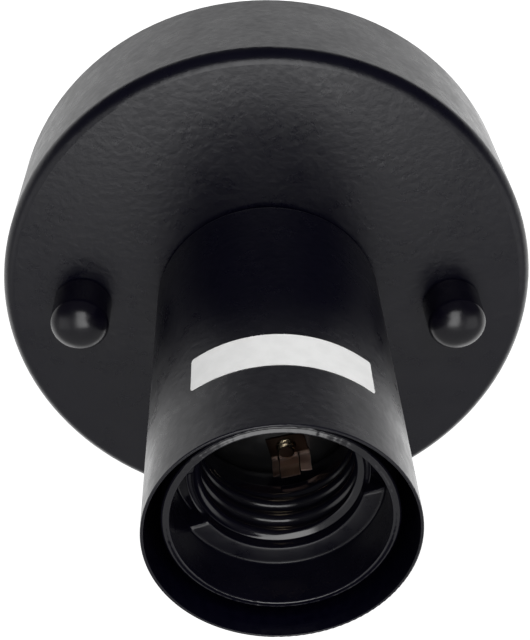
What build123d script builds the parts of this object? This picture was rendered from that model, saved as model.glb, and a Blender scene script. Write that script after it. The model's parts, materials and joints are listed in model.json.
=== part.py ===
# Ceiling batten lamp holder: a pressed steel canopy with a coated sleeve around a screw lampholder.
# Millimetres. The ceiling plane is z = 0, +Z is up, and the fitting hangs below it.
# The two dome nuts lie on the X axis; the label faces -Y.
import os
from math import cos, radians, sin, sqrt, tan, atan

from build123d import *

os.makedirs("parts", exist_ok=True)

# ---------------------------------------------------------------- driving dimensions
canopy_r = 50.0
canopy_h = 26.5
canopy_t = 1.0
canopy_edge = 2.3  # outer bend radius at the face

sleeve_r = 20.9
sleeve_len = 65.0
sleeve_t = 0.9
sleeve_wall = 0.5  # drawn wall of the sleeve, thinner than its closed end
sleeve_edge = 1.3

stud_x = 35.0  # both studs, on the X axis
stud_r = 2.0
nut_r = 5.4
nut_straight = 7.1
nut_dome = 3.0  # height of the low dome on the nut's straight body

entry_r = 5.2  # hole for the nipple in canopy and sleeve
nipple_r = 5.0
nipple_bore = 3.9
nipple_top = -15.5
nipple_end = -37.0

# screw thread of the lampholder (26.55 / 24.4 mm, 3.629 mm pitch)
thread_minor = 12.2
thread_major = 13.35
thread_pitch = 3.629
thread_flat = 0.9  # width left on the crest

face_z = -canopy_h  # outer face of the canopy
floor_z = face_z + canopy_t  # inner face of the canopy
base_z = face_z - sleeve_t  # inner face of the sleeve's closed end
mouth_z = face_z - sleeve_len  # open end of the sleeve

shell_r = 18.0
shell_in = 16.5
rim_z = mouth_z + 3.3  # rim of the holder shell, inside the sleeve
lip_z = -77.9  # front of the threaded tube
moat_z = -75.4  # floor of the ring groove around the tube
arc_z = -79.5  # front of the two raised arcs over that groove
web_z = -73.9
thread_end = -65.5
seat_z = -60.0  # back end of the tube, where the carrier sits
back_z = -54.5  # back face of the carrier
shell_back = -50.2
cap_front = -50.0

contact_angle = 75.0  # where the side contact stands, about Z
screw_reach = 8.0  # terminal screws' distance from the axis
plate_t = 0.8
wire_r = 1.0
core_r = 0.5
block_y = 29.0  # centre of the terminal block
block_axis = floor_z + 4.0
block_pitch = 8.0

label_from, label_to = -130.0, -47.5
label_bottom, label_top = -77.2, -69.1

un = (cos(radians(contact_angle)), sin(radians(contact_angle)))
vn = (-un[1], un[0])


def on_carrier(radial, across, z, side=1):
    """A point given along and across the contact's direction; side -1 is the opposite terminal."""
    return (
        side * (un[0] * radial + vn[0] * across),
        side * (un[1] * radial + vn[1] * across),
        z,
    )


def upright(x, y=0.0):
    """A plane through (x, y) whose local x is X and whose local y is Z."""
    return Plane((x, y, 0), x_dir=(1, 0, 0), z_dir=(0, -1, 0))


# ---------------------------------------------------------------- canopy
with BuildPart() as canopy:
    with BuildSketch(Plane.XZ) as canopy_section:
        with BuildLine():
            Polyline(
                (0, face_z),
                (canopy_r, face_z),
                (canopy_r, 0),
                (canopy_r - canopy_t, 0),
                (canopy_r - canopy_t, floor_z),
                (0, floor_z),
                close=True,
            )
        make_face()
        corners = canopy_section.vertices()
        fillet(corners.sort_by_distance((canopy_r, face_z))[0], canopy_edge)
        corners = canopy_section.vertices()
        fillet(
            corners.sort_by_distance((canopy_r - canopy_t, floor_z))[0],
            canopy_edge - canopy_t,
        )
    revolve(axis=Axis.Z)
    with BuildSketch(Plane.XY.offset(face_z - 1)):
        Circle(entry_r)
        with Locations((-stud_x, 0), (stud_x, 0)):
            Circle(2.4)
    extrude(amount=canopy_t + 2, mode=Mode.SUBTRACT)
    rim = canopy.edges().filter_by(GeomType.CIRCLE).group_by(Axis.Z)[-1]
    fillet(rim, 0.22)
canopy.part.label = "canopy"
export_step(canopy.part, "parts/canopy.step")

# ---------------------------------------------------------------- lamp sleeve
with BuildPart() as lamp_sleeve:
    with BuildSketch(Plane.XZ) as sleeve_section:
        with BuildLine():
            Polyline(
                (0, face_z),
                (sleeve_r, face_z),
                (sleeve_r, mouth_z),
                (sleeve_r - sleeve_wall, mouth_z),
                (sleeve_r - sleeve_wall, base_z),
                (0, base_z),
                close=True,
            )
        make_face()
        fillet(
            sleeve_section.vertices().sort_by_distance((sleeve_r, face_z))[0],
            sleeve_edge,
        )
        fillet(
            sleeve_section.vertices().sort_by_distance((sleeve_r - sleeve_wall, base_z))[0],
            sleeve_edge - sleeve_t,
        )
    revolve(axis=Axis.Z)
    with BuildSketch(Plane.XY.offset(base_z - 1)):
        Circle(entry_r)
    extrude(amount=sleeve_t + 2, mode=Mode.SUBTRACT)
    lip = lamp_sleeve.edges().filter_by(GeomType.CIRCLE).group_by(Axis.Z)[0]
    fillet(lip, 0.2)
lamp_sleeve.part.label = "lamp_sleeve"
export_step(lamp_sleeve.part, "parts/lamp_sleeve.step")

# ---------------------------------------------------------------- mounting bracket
strap_t = 1.5
strap_half = 42.0
strap_w = 18.0
step_in, step_out, step_drop = 27.5, 30.5, 3.5
shift = strap_t * tan(atan(step_drop / (step_out - step_in)) / 2)
slot_x, slot_len, slot_r = 19.0, 12.0, 2.3
earth_x = 9.0
with BuildPart() as mounting_bracket:
    with BuildSketch(Plane.XZ) as strap_side:
        with BuildLine():
            Polyline(
                (-strap_half, -step_drop),
                (-step_out, -step_drop),
                (-step_in, 0),
                (step_in, 0),
                (step_out, -step_drop),
                (strap_half, -step_drop),
                (strap_half, -step_drop - strap_t),
                (step_out - shift, -step_drop - strap_t),
                (step_in - shift, -strap_t),
                (-step_in + shift, -strap_t),
                (-step_out + shift, -step_drop - strap_t),
                (-strap_half, -step_drop - strap_t),
                close=True,
            )
        make_face()
        for sx in (-1, 1):
            for px, pz, radius in (
                (step_out, -step_drop, 0.8),
                (step_in, 0, 2.0),
                (step_out - shift, -step_drop - strap_t, 2.0),
                (step_in - shift, -strap_t, 0.8),
            ):
                fillet(
                    strap_side.vertices().sort_by_distance((sx * px, pz))[0], radius
                )
    extrude(amount=strap_w / 2, both=True)
    ends = (
        mounting_bracket.edges()
        .filter_by(Axis.Z)
        .filter_by(lambda e: abs(abs(e.center().X) - strap_half) < 0.01)
    )
    fillet(ends, 4.0)
    with BuildSketch(Plane.XY.offset(-step_drop - strap_t - 1)):
        Circle(5.0)
        with Locations((-slot_x, 0), (slot_x, 0)):
            SlotOverall(slot_len, 2 * slot_r)
        with Locations((-stud_x, 0), (stud_x, 0)):
            Circle(stud_r + 0.02)
        with Locations((earth_x, 0)):
            Circle(1.75)
    extrude(amount=step_drop + strap_t + 2, mode=Mode.SUBTRACT)
mounting_bracket.part.label = "mounting_bracket"
export_step(mounting_bracket.part, "parts/mounting_bracket.step")

# ---------------------------------------------------------------- bracket studs (two alike)
stud_head_z = -step_drop
stud_tip_z = -34.0
with BuildPart() as bracket_studs:
    for sx in (-stud_x, stud_x):
        with BuildSketch(upright(sx)):
            with BuildLine():
                Polyline(
                    (0, stud_tip_z),
                    (stud_r - 0.5, stud_tip_z),
                    (stud_r, stud_tip_z + 0.5),
                    (stud_r, stud_head_z),
                    (3.8, stud_head_z),
                    (3.8, stud_head_z + 1.4),
                )
                ThreePointArc(
                    (3.8, stud_head_z + 1.4),
                    (2.75, stud_head_z + 2.38),
                    (0, stud_head_z + 2.7),
                )
                Line((0, stud_head_z + 2.7), (0, stud_tip_z))
            make_face()
        revolve(axis=Axis((sx, 0, 0), (0, 0, 1)))
        with BuildSketch(Plane.XY.offset(stud_head_z + 1.3)):
            with Locations((sx, 0)):
                Rectangle(4.2, 0.9)
                Rectangle(0.9, 4.2)
        extrude(amount=2.0, mode=Mode.SUBTRACT)
bracket_studs.part.label = "bracket_studs"
export_step(bracket_studs.part, "parts/bracket_studs.step")

# ---------------------------------------------------------------- stud lock nuts (two alike)
lock_top = -step_drop - strap_t
lock_h = 3.2
with BuildPart() as stud_lock_nuts:
    for sx in (-stud_x, stud_x):
        with BuildSketch(Plane.XY.offset(lock_top - lock_h)):
            with Locations((sx, 0)):
                RegularPolygon(3.5, 6, major_radius=False)
                Circle(stud_r + 0.03, mode=Mode.SUBTRACT)
        extrude(amount=lock_h)
        with BuildSketch(upright(sx)):
            Polygon(
                (3.45, lock_top - lock_h),
                (4.3, lock_top - lock_h),
                (4.3, lock_top - lock_h + 0.5),
                align=None,
            )
            Polygon(
                (3.45, lock_top), (4.3, lock_top), (4.3, lock_top - 0.5), align=None
            )
        revolve(axis=Axis((sx, 0, 0), (0, 0, 1)), mode=Mode.SUBTRACT)
stud_lock_nuts.part.label = "stud_lock_nuts"
export_step(stud_lock_nuts.part, "parts/stud_lock_nuts.step")

# ---------------------------------------------------------------- dome nuts
nut_bore = stud_r + 0.06
nut_base = face_z - 0.05
nut_shoulder = nut_base - nut_straight
nut_tip = nut_shoulder - nut_dome
with BuildPart() as dome_nut_left:
    with BuildSketch(upright(-stud_x)):
        with BuildLine():
            Polyline(
                (0, nut_base),
                (nut_r - 0.35, nut_base),
                (nut_r, nut_base - 0.35),
                (nut_r, nut_shoulder),
            )
            EllipticalCenterArc(
                (0, nut_shoulder), nut_r, nut_dome, start_angle=270, arc_size=90
            )
            Line((0, nut_tip), (0, nut_base))
        make_face()
    revolve(axis=Axis((-stud_x, 0, 0), (0, 0, 1)))
    with BuildSketch(upright(-stud_x)):
        Polygon(
            (0, nut_base + 1),
            (nut_bore + 0.5, nut_base + 1),
            (nut_bore + 0.5, nut_base),
            (nut_bore, nut_base - 0.5),
            (nut_bore, nut_base - 8.2),
            (0, nut_base - 9.0),
            align=None,
        )
    revolve(axis=Axis((-stud_x, 0, 0), (0, 0, 1)), mode=Mode.SUBTRACT)
dome_nut_left.part.label = "dome_nut_left"
export_step(dome_nut_left.part, "parts/dome_nut_left.step")

with BuildPart() as dome_nut_right:
    with BuildSketch(upright(stud_x)):
        with BuildLine():
            Polyline(
                (0, nut_base),
                (nut_r - 0.35, nut_base),
                (nut_r, nut_base - 0.35),
                (nut_r, nut_shoulder),
            )
            EllipticalCenterArc(
                (0, nut_shoulder), nut_r, nut_dome, start_angle=270, arc_size=90
            )
            Line((0, nut_tip), (0, nut_base))
        make_face()
    revolve(axis=Axis((stud_x, 0, 0), (0, 0, 1)))
    with BuildSketch(upright(stud_x)):
        Polygon(
            (0, nut_base + 1),
            (nut_bore + 0.5, nut_base + 1),
            (nut_bore + 0.5, nut_base),
            (nut_bore, nut_base - 0.5),
            (nut_bore, nut_base - 8.2),
            (0, nut_base - 9.0),
            align=None,
        )
    revolve(axis=Axis((stud_x, 0, 0), (0, 0, 1)), mode=Mode.SUBTRACT)
dome_nut_right.part.label = "dome_nut_right"
export_step(dome_nut_right.part, "parts/dome_nut_right.step")

# ---------------------------------------------------------------- threaded nipple
with BuildPart() as threaded_nipple:
    with BuildSketch(Plane.XZ):
        Polygon(
            (nipple_bore, nipple_end),
            (nipple_r - 0.5, nipple_end),
            (nipple_r, nipple_end + 0.5),
            (nipple_r, nipple_top - 0.5),
            (nipple_r - 0.5, nipple_top),
            (nipple_bore, nipple_top),
            align=None,
        )
    revolve(axis=Axis.Z)
threaded_nipple.part.label = "threaded_nipple"
export_step(threaded_nipple.part, "parts/threaded_nipple.step")

# ---------------------------------------------------------------- nipple lock washer
washer_t = 0.8
with BuildPart() as nipple_lock_washer:
    with BuildSketch(Plane.XY.offset(floor_z)):
        Circle(9.0)
        Circle(nipple_r + 0.15, mode=Mode.SUBTRACT)
        with PolarLocations(8.6, 12):
            Rectangle(2.6, 1.7, mode=Mode.SUBTRACT)
    extrude(amount=washer_t)
nipple_lock_washer.part.label = "nipple_lock_washer"
export_step(nipple_lock_washer.part, "parts/nipple_lock_washer.step")

# ---------------------------------------------------------------- nipple nut
hex_base = floor_z + washer_t
hex_h = 3.5
with BuildPart() as nipple_nut:
    with BuildSketch(Plane.XY.offset(hex_base)):
        RegularPolygon(7.0, 6, major_radius=False)
        Circle(nipple_r + 0.03, mode=Mode.SUBTRACT)
    extrude(amount=hex_h)
    with BuildSketch(Plane.XZ):
        Polygon((6.9, hex_base), (8.6, hex_base), (8.6, hex_base + 0.9), align=None)
        Polygon(
            (6.9, hex_base + hex_h),
            (8.6, hex_base + hex_h),
            (8.6, hex_base + hex_h - 0.9),
            align=None,
        )
    revolve(axis=Axis.Z, mode=Mode.SUBTRACT)
nipple_nut.part.label = "nipple_nut"
export_step(nipple_nut.part, "parts/nipple_nut.step")

# ---------------------------------------------------------------- holder cap
neck_r = 8.5
dome_z = -45.5
dome_r = shell_r - neck_r
dome_in = dome_r - 2.0
k45 = sqrt(0.5)
spigot_r = shell_in - 0.1
grub_z = -32.0
with BuildPart() as holder_cap:
    with BuildSketch(Plane.XZ):
        with BuildLine():
            Polyline(
                (nipple_r + 0.03, base_z),
                (neck_r - 0.4, base_z),
                (neck_r, base_z - 0.4),
                (neck_r, dome_z + dome_r),
            )
            ThreePointArc(
                (neck_r, dome_z + dome_r),
                (neck_r + dome_r * k45, dome_z + dome_r * k45),
                (shell_r, dome_z),
            )
            Polyline(
                (shell_r, dome_z),
                (shell_r, cap_front),
                (spigot_r, cap_front),
                (spigot_r, back_z),
                (14.6, back_z),
                (14.6, -49.4),
                (neck_r + dome_in, -48.0),
                (neck_r + dome_in, dome_z),
            )
            ThreePointArc(
                (neck_r + dome_in, dome_z),
                (neck_r + dome_in * k45, dome_z + dome_in * k45),
                (neck_r, dome_z + dome_in),
            )
            Polyline(
                (neck_r, dome_z + dome_in),
                (nipple_r + 0.03, dome_z + dome_in),
                (nipple_r + 0.03, base_z),
            )
        make_face()
    revolve(axis=Axis.Z)
    # tapped hole of the grub screw
    with BuildSketch(Plane((0, 0, grub_z), x_dir=(0, 1, 0), z_dir=(1, 0, 0))):
        Circle(1.5)
    extrude(amount=neck_r + 1, mode=Mode.SUBTRACT)
    # grip ribs around the back half
    with BuildSketch(Plane.XY.offset(cap_front)):
        with PolarLocations(shell_r + 0.1, 24):
            Rectangle(0.9, 1.6)
    extrude(amount=dome_z - cap_front)
holder_cap.part.label = "holder_cap"
export_step(holder_cap.part, "parts/holder_cap.step")

# ---------------------------------------------------------------- grub screw of the cap
with BuildPart() as cap_grub_screw:
    with BuildSketch(
        Plane((nipple_r + 0.05, 0, grub_z), x_dir=(0, 1, 0), z_dir=(1, 0, 0))
    ):
        Circle(1.46)
    extrude(amount=3.2)
    with BuildSketch(
        Plane((nipple_r + 0.05 + 2.4, 0, grub_z), x_dir=(0, 1, 0), z_dir=(1, 0, 0))
    ):
        Rectangle(0.6, 4.0)
    extrude(amount=1.5, mode=Mode.SUBTRACT)
    tip = cap_grub_screw.edges().filter_by(GeomType.CIRCLE).group_by(Axis.X)[0]
    chamfer(tip, 0.4)
cap_grub_screw.part.label = "cap_grub_screw"
export_step(cap_grub_screw.part, "parts/cap_grub_screw.step")

# ---------------------------------------------------------------- holder shell
groove_depth = thread_major - thread_minor
groove_half = (thread_pitch - thread_flat) / 2
groove_r = (groove_half**2 + groove_depth**2) / (2 * groove_depth)
groove_path = thread_major - groove_r
groove_start = -79.13  # where the groove crosses the +X direction, just in front of the tube
with BuildPart() as holder_shell:
    with BuildSketch(Plane.XZ) as shell_section:
        with BuildLine():
            Polyline(
                (shell_in + 0.15, rim_z),
                (shell_r, rim_z),
                (shell_r, shell_back),
                (shell_in, shell_back),
                (shell_in, web_z),
                (14.6, web_z),
                (14.6, seat_z),
                (13.6, seat_z),
                (13.6, thread_end + 1.2),
                (thread_minor, thread_end),
                (thread_minor, lip_z + 0.5),
                (thread_minor + 0.95, lip_z),
                (14.5, lip_z),
                (14.5, moat_z),
                (shell_in, moat_z),
                close=True,
            )
        make_face()
        for vx in (shell_in + 0.15, shell_r):
            fillet(shell_section.vertices().sort_by_distance((vx, rim_z))[0], 0.4)
    revolve(axis=Axis.Z)
    # two raised arcs that stand on the tube's front and bridge the ring groove
    for start in (5.0, 185.0):
        with BuildSketch(
            Plane(
                (0, 0, 0),
                x_dir=(cos(radians(start)), sin(radians(start)), 0),
                z_dir=(sin(radians(start)), -cos(radians(start)), 0),
            )
        ):
            Polygon(
                (13.4, lip_z + 0.3),
                (14.3, lip_z + 0.3),
                (14.3, moat_z + 0.4),
                (shell_in + 0.3, moat_z + 0.4),
                (shell_in + 0.3, arc_z - 0.2),
                (13.4, arc_z),
                align=None,
            )
        revolve(axis=Axis.Z, revolution_arc=142.0)
    # screw thread, cut as one round groove
    with BuildLine() as groove_line:
        Helix(
            thread_pitch, thread_end + 2.4 - groove_start, groove_path, center=(0, 0, groove_start)
        )
    with BuildSketch(Plane(groove_line.line @ 0, z_dir=groove_line.line % 0)):
        Circle(groove_r)
    sweep(path=groove_line.line, is_frenet=True, mode=Mode.SUBTRACT)
holder_shell.part.label = "holder_shell"
export_step(holder_shell.part, "parts/holder_shell.step")

# ---------------------------------------------------------------- contact carrier
with BuildPart() as contact_carrier:
    with BuildSketch(Plane.XY.offset(seat_z)):
        Circle(16.2)
        with PolarLocations(16.2, 2, start_angle=contact_angle + 90):
            Rectangle(2.4, 2.0, mode=Mode.SUBTRACT)
    extrude(amount=back_z - seat_z)
    # collar around the centre contact
    with BuildSketch(Plane.XY.offset(seat_z - 1.0)):
        Circle(5.0)
    extrude(amount=1.5)
    # barriers between the two terminals on the back
    for side in (1, -1):
        with BuildSketch(
            Plane(
                on_carrier(4.42, 0, back_z - 0.5, side),
                x_dir=(un[0], un[1], 0),
                z_dir=(0, 0, 1),
            )
        ):
            if side == 1:
                Rectangle(0.65, 9.0)
            else:
                with Locations((0, 5.4), (0, -5.4)):
                    Rectangle(0.65, 3.0)
        extrude(amount=3.0)
    with BuildSketch(Plane.XY.offset(seat_z - 2)):
        Circle(3.6)
        with Locations(on_carrier(screw_reach, 0, 0)[:2]):
            Circle(1.6)
    extrude(amount=back_z - seat_z + 4, mode=Mode.SUBTRACT)
    with BuildSketch(Plane.XY.offset(seat_z + 0.8)):
        with Locations(on_carrier(screw_reach, 0, 0, -1)[:2]):
            Circle(1.6)
    extrude(amount=back_z - seat_z, mode=Mode.SUBTRACT)
contact_carrier.part.label = "contact_carrier"
export_step(contact_carrier.part, "parts/contact_carrier.step")

# ---------------------------------------------------------------- centre contact (sprung plunger)
tip_z = -63.0
head_back = -61.2
plate_back = back_z + plate_t  # back of both terminal plates
with BuildPart() as centre_contact:
    with BuildSketch(Plane.XZ):
        with BuildLine():
            ThreePointArc((0, tip_z), (1.9, tip_z + 0.24), (3.3, tip_z + 0.9))
            Polyline(
                (3.3, tip_z + 0.9),
                (3.3, head_back),
                (1.9, head_back),
                (1.9, plate_back),
                (1.5, plate_back),
                (1.5, plate_back + 0.75),
                (1.9, plate_back + 0.75),
                (1.9, plate_back + 1.4),
                (1.5, plate_back + 1.8),
                (0, plate_back + 1.8),
                (0, tip_z),
            )
        make_face()
    revolve(axis=Axis.Z)
centre_contact.part.label = "centre_contact"
export_step(centre_contact.part, "parts/centre_contact.step")

# ---------------------------------------------------------------- spring of the centre contact
spring_wire = 0.3
spring_mean = 2.75
spring_low = head_back + spring_wire + 0.03
spring_high = back_z - spring_wire - 0.03
with BuildPart() as contact_spring:
    with BuildLine() as coil:
        Helix(
            (spring_high - spring_low) / 4.5,
            spring_high - spring_low,
            spring_mean,
            center=(0, 0, spring_low),
        )
    with BuildSketch(Plane(coil.line @ 0, z_dir=coil.line % 0)):
        Circle(spring_wire)
    sweep(path=coil.line, is_frenet=True)
contact_spring.part.label = "contact_spring"
export_step(contact_spring.part, "parts/contact_spring.step")

# ---------------------------------------------------------------- retaining clip of the centre contact
with BuildPart() as contact_retainer:
    with BuildSketch(Plane.XY.offset(plate_back + 0.05)):
        Circle(3.0)
        Circle(1.53, mode=Mode.SUBTRACT)
        with Locations((2.2, 0)):
            Rectangle(4.4, 2.4, mode=Mode.SUBTRACT)
        with PolarLocations(2.3, 2, start_angle=125, angular_range=110, endpoint=True):
            Circle(0.45, mode=Mode.SUBTRACT)
    extrude(amount=0.6)
contact_retainer.part.label = "contact_retainer"
export_step(contact_retainer.part, "parts/contact_retainer.step")

# ---------------------------------------------------------------- live terminal plate
with BuildPart() as live_terminal:
    with BuildSketch(
        Plane((0, 0, back_z), x_dir=(-un[0], -un[1], 0), z_dir=(0, 0, 1))
    ):
        Circle(4.0)
        with Locations((4.0, 0)):
            Rectangle(8.0, 6.6)
        with Locations((9.4, 0)):
            RectangleRounded(4.4, 6.6, 1.0)
        with Locations((7.0, 0)):
            Rectangle(3.0, 6.6)
        Circle(2.1, mode=Mode.SUBTRACT)
        with Locations((screw_reach, 0)):
            Circle(1.48, mode=Mode.SUBTRACT)
    extrude(amount=plate_t)
live_terminal.part.label = "live_terminal"
export_step(live_terminal.part, "parts/live_terminal.step")

# ---------------------------------------------------------------- neutral terminal plate
with BuildPart() as neutral_terminal:
    with BuildSketch(Plane((0, 0, back_z), x_dir=(un[0], un[1], 0), z_dir=(0, 0, 1))):
        with Locations((8.5, 0)):
            RectangleRounded(6.0, 6.6, 0.8)
        with Locations((screw_reach, 0)):
            Circle(1.6, mode=Mode.SUBTRACT)
    extrude(amount=plate_t)
neutral_terminal.part.label = "neutral_terminal"
export_step(neutral_terminal.part, "parts/neutral_terminal.step")

# ---------------------------------------------------------------- clamp washers (two alike)
clamp_z = plate_back + 2 * core_r
clamp_t = 0.6
with BuildPart() as clamp_washers:
    for side in (1, -1):
        with BuildSketch(
            Plane(
                on_carrier(screw_reach, 0, clamp_z, side),
                x_dir=(un[0], un[1], 0),
                z_dir=(0, 0, 1),
            )
        ):
            RectangleRounded(6.0, 6.0, 0.7)
            Circle(1.6, mode=Mode.SUBTRACT)
        extrude(amount=clamp_t)
clamp_washers.part.label = "clamp_washers"
export_step(clamp_washers.part, "parts/clamp_washers.step")

# ---------------------------------------------------------------- terminal screws
head_z = clamp_z + clamp_t
with BuildPart() as neutral_terminal_screw:
    nx, ny, nz = on_carrier(screw_reach, 0, 0)
    with BuildSketch(upright(nx, ny)):
        Polygon(
            (0, -62.3),
            (1.05, -62.3),
            (1.45, -61.9),
            (1.45, head_z),
            (2.75, head_z),
            (2.75, head_z + 1.6),
            (2.35, head_z + 2.0),
            (0, head_z + 2.0),
            align=None,
        )
    revolve(axis=Axis((nx, ny, 0), (0, 0, 1)))
    with BuildSketch(Plane((nx, ny, head_z + 1.0), x_dir=(1, 0, 0), z_dir=(0, 0, 1))):
        Rectangle(6.0, 0.8)
    extrude(amount=2.0, mode=Mode.SUBTRACT)
neutral_terminal_screw.part.label = "neutral_terminal_screw"
export_step(neutral_terminal_screw.part, "parts/neutral_terminal_screw.step")

with BuildPart() as live_terminal_screw:
    lx, ly, lz = on_carrier(screw_reach, 0, 0, -1)
    with BuildSketch(upright(lx, ly)):
        Polygon(
            (0, -58.6),
            (1.05, -58.6),
            (1.45, -58.2),
            (1.45, head_z),
            (2.75, head_z),
            (2.75, head_z + 1.6),
            (2.35, head_z + 2.0),
            (0, head_z + 2.0),
            align=None,
        )
    revolve(axis=Axis((lx, ly, 0), (0, 0, 1)))
    with BuildSketch(Plane((lx, ly, head_z + 1.0), x_dir=(1, 0, 0), z_dir=(0, 0, 1))):
        Rectangle(6.0, 0.8)
    extrude(amount=2.0, mode=Mode.SUBTRACT)
live_terminal_screw.part.label = "live_terminal_screw"
export_step(live_terminal_screw.part, "parts/live_terminal_screw.step")

# ---------------------------------------------------------------- side contact (bent leaf with three fingers)
leaf_t = 0.4
with BuildPart() as side_contact:
    with BuildSketch(
        Plane((0, 0, 0), x_dir=(un[0], un[1], 0), z_dir=(un[1], -un[0], 0))
    ) as leaf_side:
        with BuildLine():
            Polyline(
                (5.7, seat_z),
                (10.9, seat_z),
                (10.9, -60.9),
                (10.45, -63.0),
                (10.95, -65.1),
                (10.56, -65.18),
                (10.03, -63.0),
                (10.5, -60.85),
                (10.5, seat_z - leaf_t),
                (5.7, seat_z - leaf_t),
                close=True,
            )
        make_face()
        for px, pz, radius in (
            (10.9, seat_z, 0.75),
            (10.5, seat_z - leaf_t, 0.35),
            (10.45, -63.0, 1.6),
            (10.03, -63.0, 2.0),
        ):
            near = leaf_side.vertices().sort_by_distance((px, pz))[0]
            fillet(near, radius)
    extrude(amount=3.6, both=True)
    # slits that part the leaf into three fingers
    with BuildSketch(
        Plane(
            (un[0] * 9.5, un[1] * 9.5, 0),
            x_dir=(vn[0], vn[1], 0),
            z_dir=(un[0], un[1], 0),
        )
    ):
        for sx in (-1.85, 1.85):
            with Locations((sx, -63.9)):
                Rectangle(0.4, 4.8)
    extrude(amount=3.0, mode=Mode.SUBTRACT)
    with BuildSketch(Plane.XY.offset(seat_z - 1)):
        with Locations(on_carrier(screw_reach, 0, 0)[:2]):
            Circle(1.48)
    extrude(amount=2, mode=Mode.SUBTRACT)
side_contact.part.label = "side_contact"
export_step(side_contact.part, "parts/side_contact.step")

# ---------------------------------------------------------------- leads
lead_z = plate_back + core_r
lead_row = screw_reach + 2.05  # runs past the outer side of its screw
high_z = -9.5
entry_y = block_y - 8.0
# bend radii from the holder to the block, as large as each corner has room for
lead_bends = [3.1, 7.0, 8.0, 7.0, 6.0, 5.5]
earth_bends = [4.0, 5.0, 5.0]

with BuildPart() as neutral_lead:
    with BuildLine() as neutral_run:
        FilletPolyline(
            on_carrier(lead_row, -4.0, lead_z),
            on_carrier(lead_row, -7.2, lead_z),
            on_carrier(lead_row, -7.2, -44.5),
            (1.5, 0, -40.0),
            (1.5, 0, high_z),
            (block_pitch, 13.0, high_z),
            (block_pitch, 13.0, block_axis),
            (block_pitch, entry_y - 0.4, block_axis),
            radius=lead_bends,
        )
    with BuildSketch(Plane(neutral_run.line @ 0, z_dir=neutral_run.line % 0)):
        Circle(wire_r)
    sweep(path=neutral_run.line)
    with BuildSketch(
        Plane(on_carrier(lead_row, -4.2, lead_z), z_dir=(vn[0], vn[1], 0))
    ):
        Circle(core_r)
    extrude(amount=6.8)
    with BuildSketch(
        Plane((block_pitch, entry_y - 0.6, block_axis), z_dir=(0, 1, 0))
    ):
        Circle(core_r)
    extrude(amount=6.4)
neutral_lead.part.label = "neutral_lead"
export_step(neutral_lead.part, "parts/neutral_lead.step")

with BuildPart() as live_lead:
    with BuildLine() as live_run:
        FilletPolyline(
            on_carrier(lead_row, -4.0, lead_z, -1),
            on_carrier(lead_row, -7.2, lead_z, -1),
            on_carrier(lead_row, -7.2, -44.5, -1),
            (-1.5, 0, -40.0),
            (-1.5, 0, high_z),
            (-block_pitch, 13.0, high_z),
            (-block_pitch, 13.0, block_axis),
            (-block_pitch, entry_y - 0.4, block_axis),
            radius=lead_bends,
        )
    with BuildSketch(Plane(live_run.line @ 0, z_dir=live_run.line % 0)):
        Circle(wire_r)
    sweep(path=live_run.line)
    with BuildSketch(
        Plane(on_carrier(lead_row, -4.2, lead_z, -1), z_dir=(-vn[0], -vn[1], 0))
    ):
        Circle(core_r)
    extrude(amount=6.8)
    with BuildSketch(
        Plane((-block_pitch, entry_y - 0.6, block_axis), z_dir=(0, 1, 0))
    ):
        Circle(core_r)
    extrude(amount=6.4)
live_lead.part.label = "live_lead"
export_step(live_lead.part, "parts/live_lead.step")

tag_z = -3.3  # axis of the earth tag's barrel
with BuildPart() as earth_lead:
    with BuildLine() as earth_run:
        FilletPolyline(
            (earth_x, 6.2, tag_z),
            (earth_x, 15.0, tag_z),
            (0, 15.0, tag_z - 1.5),
            (0, 15.0, block_axis),
            (0, entry_y - 0.4, block_axis),
            radius=earth_bends,
        )
    with BuildSketch(Plane(earth_run.line @ 0, z_dir=earth_run.line % 0)):
        Circle(wire_r)
    sweep(path=earth_run.line)
    with BuildSketch(Plane((0, entry_y - 0.6, block_axis), z_dir=(0, 1, 0))):
        Circle(core_r)
    extrude(amount=6.4)
earth_lead.part.label = "earth_lead"
export_step(earth_lead.part, "parts/earth_lead.step")

# ---------------------------------------------------------------- earth tag, star washer and screw
with BuildPart() as earth_tag:
    with BuildSketch(Plane.XY.offset(-strap_t - 0.8)):
        with Locations((earth_x, 0)):
            Circle(3.6)
        with Locations((earth_x, 4.0)):
            Rectangle(2.4, 5.0)
        with Locations((earth_x, 0)):
            Circle(1.9, mode=Mode.SUBTRACT)
    extrude(amount=0.8)
    with BuildSketch(Plane((earth_x, 5.6, tag_z), z_dir=(0, 1, 0))):
        Circle(1.5)
    extrude(amount=4.6)
    with BuildSketch(Plane((earth_x, 5.0, tag_z), z_dir=(0, 1, 0))):
        Circle(wire_r + 0.04)
    extrude(amount=6.0, mode=Mode.SUBTRACT)
earth_tag.part.label = "earth_tag"
export_step(earth_tag.part, "parts/earth_tag.step")

with BuildPart() as earth_star_washer:
    with BuildSketch(Plane.XY.offset(-strap_t - 1.4)):
        with Locations((earth_x, 0)):
            Circle(3.3)
            Circle(1.85, mode=Mode.SUBTRACT)
        for n in range(10):
            with Locations(
                (
                    earth_x + 3.2 * cos(radians(36 * n)),
                    3.2 * sin(radians(36 * n)),
                )
            ):
                Circle(0.5, mode=Mode.SUBTRACT)
    extrude(amount=0.6)
earth_star_washer.part.label = "earth_star_washer"
export_step(earth_star_washer.part, "parts/earth_star_washer.step")

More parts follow.
